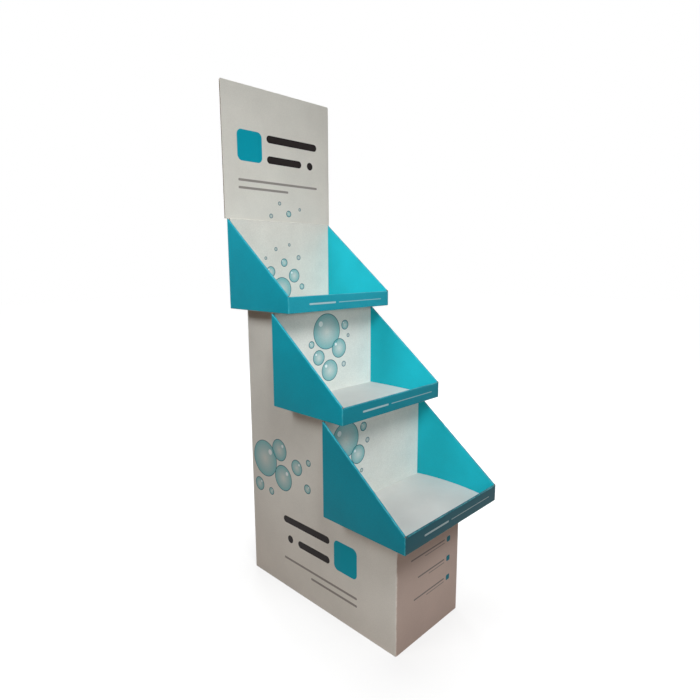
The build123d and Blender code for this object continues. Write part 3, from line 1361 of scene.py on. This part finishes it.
class TraySet:
    """The trays, from one tray that is modelled once and copied to each step."""

    # Discs on each backdrop: middle across, middle up and radius, in millimetres.
    BUBBLES = {
        "bottom_tray": (
            (-122, 192, 50), (-74, 140, 27), (-162, 118, 20), (-112, 96, 12), (-52, 214, 13),
            (-36, 172, 8), (-60, 90, 6),
        ),
        "middle_tray": (
            (0, 192, 54), (50, 136, 30), (-34, 116, 23), (10, 72, 33), (76, 206, 15), (70, 84, 9),
            (-62, 158, 11), (-58, 70, 9), (90, 172, 6),
        ),
        "top_tray": (
            (-10, 50, 38), (42, 92, 22), (-52, 106, 17), (2, 134, 13), (74, 56, 10), (62, 150, 8),
            (-30, 176, 6), (24, 190, 5), (-70, 148, 5),
        ),
    }
    # Prints of each tray's sides, lip and backdrop, with painted light and shade: the bottom tray's sides
    # and the lower trays' lips printed darker, a painted shade that deepens towards the floor, and the lower
    # trays' backdrops printed whiter, a painted light under the trays above.
    PAINTED_LIGHT_AND_SHADE = {
        "bottom_tray": (Ink.PAINTED_SHADE_TEAL, ink(19, 83, 95), Ink.PAINTED_LIGHT_BACKDROP),
        "middle_tray": (Ink.TEAL, ink(22, 133, 150), Ink.PAINTED_LIGHT_BACKDROP),
        "top_tray": (Ink.TEAL, ink(37, 160, 180), Ink.WHITE),
    }
    RULES = (
        bar(-0.128, -0.028, 0.0225, 0.0050, Ink.PALE, 0.62),
        bar(-0.016, 0.166, 0.0225, 0.0024, Ink.PALE, 0.45),
    )
    # Fold tint of the trays' white prints: worn print, darkened as a painted shade against the light that
    # the ridges catch. The teal prints' tint is worn print alone.
    FOLD_WHITE_WEAR_AND_SHADE = ink(186, 184, 177)
    CRACKED_TEAL = ink(104, 192, 204)
    FOLD_WEAR = 0.55
    BACKDROP_FOLD_WEAR_AND_SHADE = 0.8
    BACK_FOLD_WEAR_AND_SHADE = 0.3
    PITCH = 3.2 * MM
    WIDEST_FOLD = 1.0 * MM
    LOWEST_ARCH = 6.0 * MM

    def __init__(self, effects: Effects) -> None:
        """Makes the finishes that the trays share.

        Args:
            effects: the shared node groups.
        """
        self.effects = effects
        self.raw = RawEdge("tray_raw_edge", effects, pitch=self.PITCH).make()
        liner = {"pitch": self.PITCH, "washboard": 0.06, "flecks": 0.2, "roughness": 0.55}
        papers = ink(219, 218, 215), ink(176, 170, 162)
        self.plain = PlainLiner("tray_inner_liner", effects, *papers, **liner).make()
        # The walls' inner faces get a lighter print, a painted light for the bounce inside the trays.
        self.inside = self._print("tray_inside_print", Ink.PAINTED_LIGHT_CYAN, self.FOLD_WEAR)
        self.outer_back = self._print("tray_outer_back_print", Ink.WHITE, self.BACK_FOLD_WEAR_AND_SHADE)

    def _print(self, name: str, base: Colour, wear: float, **layout: object) -> Material:
        """One satin print on the trays' board.

        Args:
            name: name of the material.
            base: flood colour.
            wear: share of the fold tint laid along the folds: worn print, and on the white prints painted
                shade too.
            **layout: the marks, and the shift from the tray's own place back to the origin.

        Returns:
            The finished material.
        """
        fold_tint_wear_and_light = self.FOLD_WHITE_WEAR_AND_SHADE if base in (Ink.WHITE, Ink.PAINTED_LIGHT_BACKDROP) else self.CRACKED_TEAL
        board = {"pitch": self.PITCH, "washboard": 0.03, "fold_tint_wear_and_light": fold_tint_wear_and_light, "fold_tint_amount": wear}
        satin = {"roughness": 0.44, "cloudiness": 0.08, "mottle": 0.12}
        return PrintedLiner(name, self.effects, base, **board, **satin, **layout).make()

    def finishes(self, name: str, place: Vector) -> TrayFinishes:
        """Finishes of one tray, with its prints in its own place and its own painted light and shade.

        Args:
            name: name of the tray.
            place: middle of the back edge of the tray's underside.

        Returns:
            The tray's materials.
        """
        sides, lip, backdrop = self.PAINTED_LIGHT_AND_SHADE[name]
        shift, art = tuple(-part for part in place), bubbles(*self.BUBBLES[name])
        return TrayFinishes(
            sides=self._print(f"{name}_side_print", sides, self.FOLD_WEAR),
            inside=self.inside,
            lip=self._print(f"{name}_lip_print", lip, self.FOLD_WEAR, shift=shift, marks=self.RULES),
            backdrop=self._print(
                f"{name}_backdrop_print", backdrop, self.BACKDROP_FOLD_WEAR_AND_SHADE, shift=shift, marks=art
            ),
            outer_back=self.outer_back,
            plain=self.plain,
            raw=self.raw,
        )

    def build(self) -> None:
        """Models the bottom tray, copies it to the other steps and dresses each one."""
        boxes = {name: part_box(name) for name in self.PAINTED_LIGHT_AND_SHADE}
        places = {name: Vector(((low.x + high.x) / 2, high.y, low.z)) for name, (low, high) in boxes.items()}
        looks = {name: self.finishes(name, place) for name, place in places.items()}
        first = next(iter(boxes))
        prints = looks[first].own()
        tray = Tray(*boxes[first])
        model = tray.build(f"{first}_board", looks[first])
        mark_folds(model, self.WIDEST_FOLD, (self.inside, *prints))
        trays = {first: model}
        for name in list(boxes)[1:]:
            trays[name] = copy_piece(model, f"{name}_board", places[name] - places[first])
            swaps = dict(zip(prints, looks[name].own()))
            materials = trays[name].data.materials
            for slot, material in enumerate(materials):
                materials[slot] = swaps.get(material, material)
        tray.arch_floor(model, 0.0, 0.0, self.LOWEST_ARCH)
        for name, piece in trays.items():
            seat(piece, name)


# ------------------------------------------------------------------ body


@dataclass
class Body:
    """Stepped sleeve from one sheet, glued at its back right corner, with flaps folded in at each step."""

    steps: tuple[float, ...] = (335.0 * MM, 597.0 * MM, 859.0 * MM)
    step_rise: float = 262.0 * MM
    step_depth: float = 198.0 * MM
    board: float = 3.0 * MM
    fold: float = 3.4 * MM
    widest_fold: float = 1.6 * MM
    flap: float = 50.0 * MM
    mitre: float = 9.0 * MM
    relief: float = 4.0 * MM
    glue_flap: float = 36.0 * MM
    lap_gap: float = 0.5 * MM

    # Discs on the sides: middle across, middle up and radius, in millimetres.
    BUBBLES = (
        (268, 392, 58), (196, 436, 34), (180, 352, 40), (116, 402, 24), (300, 300, 22), (70, 350, 14),
        (64, 430, 10), (240, 292, 12),
    )
    # Rows of rules on the front: height and length of each, and their right end, in metres.
    ROWS = ((0.236, 0.150), (0.178, 0.120), (0.120, 0.136))
    ROWS_END = 0.070

    def build(self, effects: Effects) -> None:
        """Models the sleeve and dresses it.

        Args:
            effects: the shared node groups.
        """
        self.low, self.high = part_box("body_sleeve")
        self.risers = [self.low.y + self.step_depth * k for k in range(3)] + [self.high.y - 2 * self.board]
        art = emblem(0.030, 0.188) + bubbles(*self.BUBBLES)
        white, shade = Ink.BODY_WHITE, Ink.PAINTED_SHADE_WHITE
        side = PrintedLiner("body_side_print", effects, white, panel=Panel.SIDE, marks=art).make()
        # The front's flood colour is a painted shade; its tiles and rules are print.
        front = PrintedLiner("body_front_print", effects, shade, marks=self._front_marks()).make()
        back = PrintedLiner("body_back_print", effects, white).make()
        inner = PlainLiner("body_inner_liner", effects, ink(180, 146, 106), ink(120, 90, 60)).make()
        raw = RawEdge("body_raw_edge", effects).make()
        sleeve = self._surface()
        give_thickness(sleeve, self.board, BoardFinishes(side, inner, raw))
        repaint(sleeve, front, lambda p, n: n.y < -NEARER)
        repaint(sleeve, back, lambda p, n: n.y > NEARER)
        # The folds get a lighter tint: worn print and a painted highlight.
        mark_folds(sleeve, self.widest_fold, (side, front, back))
        smooth(sleeve)
        seat(sleeve, "body_sleeve")

    def _front_marks(self) -> Marks:
        """Small tiles and rules on the front of the base.

        Returns:
            The marks, back to front.
        """
        marks: list[Mark] = []
        end = self.ROWS_END
        for up, length in self.ROWS:
            marks.append(tile(0.088, up, 0.016, 0.004, Ink.DEEP_TEAL))
            marks.append(bar(end - length, end, up + 0.003, 0.0045, Ink.GREY))
            marks.append(bar(end - length * 0.6, end, up - 0.0065, 0.0030, Ink.GREY, 0.8))
        return tuple(marks)

    def _surface(self) -> Piece:
        """The outer surface of the sheet with its folds, before it has its thickness.

        Returns:
            The surface, whose faces look outwards.
        """
        sleeve = block("body_board", self.low, self.high)
        with Bench(sleeve) as bench:
            bench.clear(facing(Z))
            bench.cut_at(Z, self.steps[:2], lambda p, n: True)
            bench.cut_at(Y, self.risers[1:3], facing(X))
            for top, riser in zip(self.steps, self.risers[1:3]):
                bench.clear(lambda p, n: p.z > top and p.y < riser)
            self._open_lap(bench)
            for level, top in enumerate(self.steps):
                self._side_flaps(bench, level, top)
            self._front_flap(bench)
            bench.pick(Kind.EDGE, self._is_fold)
            bench.round_folds(self.fold)
        return sleeve

    def _open_lap(self, bench: Bench) -> None:
        """Parts the back right corner and folds the right side in to its glue flap.

        Args:
            bench: the open sleeve.
        """
        low, high = self.low, self.high
        edge, rear = high.x - self.lap_gap, high.y - self.board
        bench.cut_at(X, (edge,), facing(Y, 1))
        bench.clear(lambda p, n: n.y > STRAIGHT and p.x > edge)
        bench.pick(Kind.VERT, lambda p, n: near(p.x, high.x) and near(p.y, high.y))
        bench.move(y=-self.board)
        bench.pick(Kind.EDGE, lambda p, d: near(p.x, high.x) and near(p.y, rear) and abs(d.z) > STRAIGHT)
        bench.pull_edges(x=-self.glue_flap)

    def _flap_span(self, level: int) -> tuple[float, float]:
        """Where the side flaps of a step start and end along the depth."""
        start = self.risers[level] + self.relief + (self.flap if level == 0 else 0.0)
        return start, self.risers[level + 1] - self.relief

    def _side_flaps(self, bench: Bench, level: int, top: float) -> None:
        """Folds in the two side flaps of one step.

        Args:
            bench: the open sleeve.
            level: number of the step from the front.
            top: height of the step.
        """
        start, rear = span = self._flap_span(level)
        bench.cut_at(Y, span, lambda p, n: abs(n.x) > STRAIGHT and top - self.step_rise < p.z < top)
        for side in (-1, 1):
            outer = side * self.high.x
            free = outer - side * self.flap

            def on_flap(p: Vector, d: Vector) -> bool:
                """Whether an edge is the upper one of the side panel where the flap hangs on it."""
                level_edge = near(p.x, outer) and near(p.z, top) and abs(d.y) > STRAIGHT
                return level_edge and start - TINY < p.y < rear + TINY

            bench.pick(Kind.EDGE, on_flap)
            bench.pull_edges(x=-side * (self.flap - self.mitre))
            bench.pull_edges(x=-side * self.mitre)
            for end, turn in ((start, 1), (rear, -1)):
                bench.pick(Kind.VERT, lambda p, n: near(p.x, free) and near(p.z, top) and near(p.y, end))
                bench.move(y=turn * self.mitre)

    def _front_flap(self, bench: Bench) -> None:
        """Folds in the flap of the front panel.

        Args:
            bench: the open sleeve.
        """
        top, front = self.steps[0], self.low.y
        half = self.high.x - self.board - self.relief

        def on_flap(p: Vector, d: Vector) -> bool:
            """Whether an edge is the upper one of the front panel where the flap hangs on it."""
            return near(p.y, front) and near(p.z, top) and abs(p.x) < half and abs(d.x) > STRAIGHT

        bench.cut_at(X, (-half, half), facing(Y, -1))
        bench.pick(Kind.EDGE, on_flap)
        bench.pull_edges(y=self.flap - self.mitre)
        bench.pull_edges(y=self.mitre)
        for side in (-1, 1):
            bench.pick(Kind.VERT, lambda p, n: near(p.y, front + self.flap) and near(p.x, side * half))
            bench.move(x=-side * self.mitre)

    def _is_fold(self, place: Vector, run: Vector) -> bool:
        """Whether an edge of the sheet is one of its folds.

        Args:
            place: middle of the edge.
            run: its direction.

        Returns:
            Whether it is folded.
        """
        side = near(abs(place.x), self.high.x)
        front = near(place.y, self.low.y)
        rear = near(place.y, self.high.y) and place.x < 0
        lap = near(place.y, self.high.y - self.board)
        upright = abs(run.z) > STRAIGHT and side and (front or rear or lap)
        step = any(near(place.z, top) for top in self.steps)
        spans = [self._flap_span(level) for level in range(len(self.steps))]
        in_flap = any(start < place.y < end for start, end in spans)
        along_side = side and abs(run.y) > STRAIGHT and in_flap
        half = self.high.x - self.board - self.relief
        along_front = front and abs(run.x) > STRAIGHT and abs(place.x) < half
        return upright or (step and (along_side or along_front))


# ------------------------------------------------------------------ header card


@dataclass
class HeaderCard:
    """Single board behind the top tray: two liners with the fluted medium between them."""

    liner: float = 0.35 * MM
    pitch: float = 6.4 * MM
    corner: float = 5.0 * MM
    neck_half: float = 192.0 * MM
    tongue_half: float = 85.0 * MM
    tongue_length: float = 140.0 * MM
    tongue_bevel: float = 14.0 * MM
    medium: float = 0.25 * MM
    side_inset: float = 0.5 * MM
    end_inset: float = 0.3 * MM
    bevel_inset: float = 0.5 * MM
    corner_inset: float = 3.0 * MM
    steps: int = 8

    BUBBLES = ((30, 1146, 10), (-40, 1136, 7), (76, 1162, 5), (-6, 1176, 6))

    def build(self, effects: Effects) -> None:
        """Models the card and dresses it.

        Args:
            effects: the shared node groups.
        """
        self.low, self.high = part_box("header_card")
        self.neck_foot = self.low.z + self.tongue_length
        self.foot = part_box("top_tray")[1].z
        art = emblem(0.0, 1.326) + bubbles(*self.BUBBLES)
        printed = PrintedLiner("header_print", effects, Ink.WHITE, marks=art).make()
        papers = ink(204, 200, 192), ink(170, 160, 148)
        back = PlainLiner("header_back_liner", effects, *papers, flecks=0.25).make()
        kraft = PlainLiner("header_medium", effects, ink(112, 86, 60), ink(84, 60, 42)).make()
        front_liner = self._liner("front_liner", self.low.y, printed, kraft)
        back_liner = self._liner("back_liner", self.high.y - self.liner, back, kraft)
        bottom, top = self.low.z + self.end_inset, self.high.z - self.end_inset
        main = self._flutes(self.high.x, self.foot, top, kraft)
        neck = self._flutes(self.neck_half, self.neck_foot, self.foot, kraft)
        tongue = self._flutes(self.tongue_half, bottom, self.neck_foot, kraft)
        self._trim(main, self.high.x - self.corner_inset, self.high.z, 1.0)
        self._trim(tongue, self.tongue_half - self.tongue_bevel, self.low.z + self.bevel_inset, -1.0)
        card = join([front_liner, back_liner, main, neck, tongue], "header_board")
        mark_folds(card, 0.0, ())
        seat(card, "header_card")

    def _liner(self, name: str, y: float, outside: Material, inside: Material) -> Piece:
        """One liner: the card's outline with round top corners, its neck and its tongue.

        Args:
            name: name of the liner.
            y: its front face.
            outside: material of its shown face.
            inside: material of its other faces.

        Returns:
            The liner as a closed sheet.
        """
        low, high, half = self.low, self.high, self.tongue_half
        liner = block(name, Vector((low.x, y, self.foot)), Vector((high.x, y + self.liner, high.z)))

        def at_corner(p: Vector, d: Vector) -> bool:
            """Whether an edge runs through the board at a top corner."""
            return abs(d.y) > STRAIGHT and near(p.z, high.z) and near(abs(p.x), high.x)

        with Bench(liner) as bench:
            self._draw_down(bench, self.neck_half, self.foot, self.foot - self.neck_foot)
            self._draw_down(bench, half, self.neck_foot, self.tongue_length - self.tongue_bevel)
            bench.pull_faces(-self.tongue_bevel)
            for side in (-1, 1):
                bench.pick(Kind.VERT, lambda p, n: near(p.z, low.z) and near(p.x, side * half))
                bench.move(x=-side * self.tongue_bevel)
            bench.pick(Kind.EDGE, at_corner)
            bench.round_folds(self.corner, segments=6)
        liner.data.materials.append(inside)
        repaint(liner, outside, facing(Y, -1 if near(y, low.y) else 1))
        return liner

    @staticmethod
    def _draw_down(bench: Bench, half: float, level: float, length: float) -> None:
        """Draws the middle of the card's lower edge down.

        Args:
            bench: the liner under work.
            half: half the width of the part that is drawn down.
            level: height of the edge.
            length: how far it goes down.
        """
        for side in (-1, 1):
            bench.cut_all(Vector((side * half, 0, 0)), Vector((1, 0, 0)))
        bench.pick(Kind.FACE, lambda p, n: n.z < -STRAIGHT and abs(p.x) < half and near(p.z, level))
        bench.pull_faces(-length)

    def _flutes(self, half: float, bottom: float, top: float, material: Material) -> Piece:
        """The medium's wave with upright flutes: one flute, repeated across the card.

        Args:
            half: half the width of the board around it.
            bottom: its lower end.
            top: its upper end.
            material: its paper.

        Returns:
            The wave as a closed sheet.
        """
        half -= self.side_inset
        middle = (self.low.y + self.high.y) / 2
        reach = (self.high.y - self.low.y) / 2 - self.liner - self.medium / 2
        count = int(2 * half / self.pitch)
        pitch = 2 * half / count
        start = Vector((-half, middle, bottom))
        wave = block("flutes", start, start + Vector((pitch, self.medium, top - bottom)))
        places = [-half + pitch * k / self.steps for k in range(self.steps + 1)]
        with Bench(wave) as bench:
            bench.cut_at(X, places[1:-1], lambda p, n: True)
            for k, x in enumerate(places):
                bench.pick(Kind.VERT, lambda p, n: near(p.x, x))
                bench.move(y=reach * cos(2 * pi * k / self.steps) - self.medium / 2)
            bench.clear(facing(X))
        offset = {"use_relative_offset": False, "use_constant_offset": True}
        merge = {"use_merge_vertices": True, "merge_threshold": TINY}
        apply_modifier(wave, "ARRAY", count=count, **offset, constant_offset_displace=(pitch, 0, 0), **merge)
        wave.data.materials.append(material)
        smooth(wave, degrees=50.0)
        return wave

    @staticmethod
    def _trim(wave: Piece, x: float, z: float, way: float) -> None:
        """Takes two corners off a wave, inside the card's round corners or the tongue's bevels.

        Args:
            wave: the flutes.
            x: how far from the middle the slanting cuts pass.
            z: height at which they do.
            way: 1 for the upper corners, -1 for the lower ones.
        """
        with Bench(wave) as bench:
            for side in (-1, 1):
                bench.cut_all(Vector((side * x, 0, z)), Vector((side, 0, way)).normalized(), clear=True)


# ------------------------------------------------------------------ supports


class Supports:
    """Kraft finish of the plates inside the body, which keep their own meshes."""

    PAPERS = ink(178, 142, 102), ink(120, 88, 58)
    CROSS = ("rear_cross_plate", "middle_cross_plate", "front_cross_plate")

    def dress(self, effects: Effects) -> None:
        """Gives each plate its board.

        Args:
            effects: the shared node groups.
        """
        rib = KraftPlate("rib_kraft", effects, *self.PAPERS, along="Y", across="X")
        plates = {"support_rib": rib}
        for name in self.CROSS:
            low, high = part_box(name)
            plates[name] = KraftPlate(f"{name}_kraft", effects, *self.PAPERS, middle=(low.y + high.y) / 2)
        for name, plate in plates.items():
            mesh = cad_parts[name].data
            mesh.materials.clear()
            mesh.materials.append(plate.make())
            log.info("%s: dressed", name)


# ------------------------------------------------------------------ studio


def put_up(name: str, data: bpy.types.ID, place: Point) -> Piece:
    """A lamp or a camera at its place in the scene.

    Args:
        name: name of the object.
        data: its lamp or camera.
        place: where it stands.

    Returns:
        The object.
    """
    thing = bpy.data.objects.new(name, data)
    bpy.context.scene.collection.objects.link(thing)
    thing.location = place
    return thing


@dataclass(frozen=True)
class Lamp:
    """One soft square lamp that looks at a point, with its power in watts and its spread in degrees."""

    name: str
    place: Point
    aim: Point
    size: float
    power: float
    spread: float = 180.0

    def light(self) -> None:
        """Hangs the lamp."""
        data = bpy.data.lights.new(self.name, "AREA")
        data.size = self.size
        data.energy = self.power
        data.spread = radians(self.spread)
        towards = Vector(self.aim) - Vector(self.place)
        put_up(self.name, data, self.place).rotation_euler = towards.to_track_quat("-Z", "Y").to_euler()


@dataclass(frozen=True)
class Viewpoint:
    """Camera of the photograph, from its place and its turns in degrees."""

    place: Point = (-1.07643, -1.02348, 0.99164)
    yaw: float = -45.59
    pitch: float = -9.35
    roll: float = -0.23
    lens: float = 27.23
    sensor: float = 36.0
    nearest: float = 0.05
    farthest: float = 60.0

    def look(self) -> None:
        """Sets up the camera."""
        a, p, r = radians(self.yaw), radians(self.pitch), radians(self.roll)
        ahead = Vector((-sin(a) * cos(p), cos(a) * cos(p), sin(p)))
        level = Vector((cos(a), sin(a), 0.0))
        above = level.cross(ahead)
        right, up = cos(r) * level + sin(r) * above, cos(r) * above - sin(r) * level
        data = bpy.data.cameras.new("photo_view")
        data.lens, data.sensor_width = self.lens, self.sensor
        data.clip_start, data.clip_end = self.nearest, self.farthest
        camera = put_up("photo_view", data, self.place)
        camera.rotation_euler = Matrix((right, up, -ahead)).transposed().to_euler()
        bpy.context.scene.camera = camera


def seen(w: Wiring) -> Socket:
    """1 for rays that show the background: straight, mirrored or through glass.

    Args:
        w: wiring of the material or the world.

    Returns:
        The mask.
    """
    path = w.add("ShaderNodeLightPath").outputs
    shown = w.math("MAXIMUM", path["Is Camera Ray"], path["Is Glossy Ray"])
    return w.math("MAXIMUM", shown, path["Is Transmission Ray"])


@dataclass(frozen=True)
class PaleFloor(Finish):
    """Floor that shows white with a soft shadow, and gives back a duller light.

    Its glow rises from the stand's foot to a distance, which paints a soft shadow around the stand on top of
    its real shadow: each pair is a distance in metres and the glow.
    """

    foot: Box
    painted_shadow_at_foot: tuple[float, float] = (0.0, 0.74)
    far: tuple[float, float] = (0.45, 1.0)
    bounce: Colour = ink(150, 122, 104)
    white: Colour = ink(140, 140, 140)
    grain: Colour = ink(134, 134, 134)
    grain_scale: float = 3.0

    def wire(self, w: Wiring) -> None:
        """Wires the matt floor and its glow.

        Args:
            w: wiring of the material.
        """
        nodes = w.tree.nodes
        nodes.remove(nodes["Principled BSDF"])
        shown, place = seen(w), w.object_place()
        white = w.blend(w.span(w.noise(place, self.grain_scale), *self.SOFT_CLOUDS), self.grain, self.white)
        matt = w.add("ShaderNodeBsdfDiffuse", w.blend(shown, self.bounce, white))
        low, high = (Vector((corner.x, corner.y, 0.0)) for corner in self.foot)
        box = {"Centre": (low + high) / 2, "Half_Size": (high - low) / 2, "Radius": 0.0}
        reach = w.group(self.effects.mark, Place=place, **box)["Distance"]
        # The glow is lower near the stand's foot: a painted shadow on the floor around the stand.
        lift = w.span(reach, self.painted_shadow_at_foot[0], self.far[0], self.painted_shadow_at_foot[1], self.far[1])
        glow = w.fill(w.add("ShaderNodeEmission"), Strength=w.math("MULTIPLY", shown, lift))
        both = w.add("ShaderNodeAddShader", matt.outputs[0], glow.outputs[0])
        w.fill(nodes["Material Output"], Surface=both.outputs[0])


class Studio:
    """Pale floor, white background and soft lamps."""

    LAMPS = (
        Lamp("left_lamp", (-1.5, 0.3, 1.75), (0.0, 0.1, 1.2), 0.6, 10.5),
        Lamp("left_spot", (-1.5, 0.3, 1.75), (0.0, 0.1, 1.2), 0.6, 1.2, spread=64.0),
        Lamp("near_spot", (-1.7, -0.9, 0.5), (-0.1, -0.2, 0.25), 0.5, 0.32, spread=40.0),
        Lamp("front_lamp", (-0.7, -1.4, 2.3), (0.0, 0.0, 0.5), 0.9, 9.4, spread=88.0),
        Lamp("front_spot", (-0.4, -1.9, 1.2), (0.0, 0.3, 0.95), 0.6, 1.25, spread=56.0),
        Lamp("right_fill", (2.6, 0.7, 1.6), (0.0, 0.0, 0.7), 1.2, 20.0),
        Lamp("rear_fill", (1.6, 2.8, 1.9), (0.0, 0.0, 0.7), 1.4, 52.0),
    )
    AMBIENT = (0.02, 0.02, 0.02, 1.0)
    PLAIN_WHITE = (1.0, 1.0, 1.0, 1.0)
    FLOOR_HALF = 14.0
    FLOOR_DROP = 0.2 * MM

    def build(self, effects: Effects) -> None:
        """Builds the floor, the world, the lamps and the camera.

        Args:
            effects: the shared node groups.
        """
        half = self.FLOOR_HALF
        floor = sheet("floor", Vector((-half, -half, -self.FLOOR_DROP)), Vector((half, half, 0.0)))
        floor.data.materials.append(PaleFloor("pale_floor", effects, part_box("body_sleeve")).make())
        self._world()
        for lamp in self.LAMPS:
            lamp.light()
        Viewpoint().look()
        bpy.context.scene.view_settings.view_transform = "Standard"
        log.info("studio: %d lamps", len(self.LAMPS))

    def _world(self) -> None:
        """Even soft light from all round, seen as plain white."""
        world = bpy.data.worlds.new("soft_room")
        world.use_nodes = True
        bpy.context.scene.world = world
        w = Wiring(world.node_tree)
        shade = w.blend(seen(w), self.AMBIENT, self.PLAIN_WHITE)
        w.fill(w.tree.nodes["Background"], Color=shade, Strength=1.0)


def corners(box: Box) -> list[list[float]]:
    """A box as plain lists of numbers."""
    return [list(point) for point in box]


def main() -> None:
    """Builds every piece in order."""
    logging.basicConfig(level=logging.INFO, format="%(name)s: %(message)s")
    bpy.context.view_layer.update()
    effects = Effects()
    Body().build(effects)
    HeaderCard().build(effects)
    TraySet(effects).build()
    Supports().dress(effects)
    Studio().build(effects)
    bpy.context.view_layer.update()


if __name__ == "__main__":
    main()
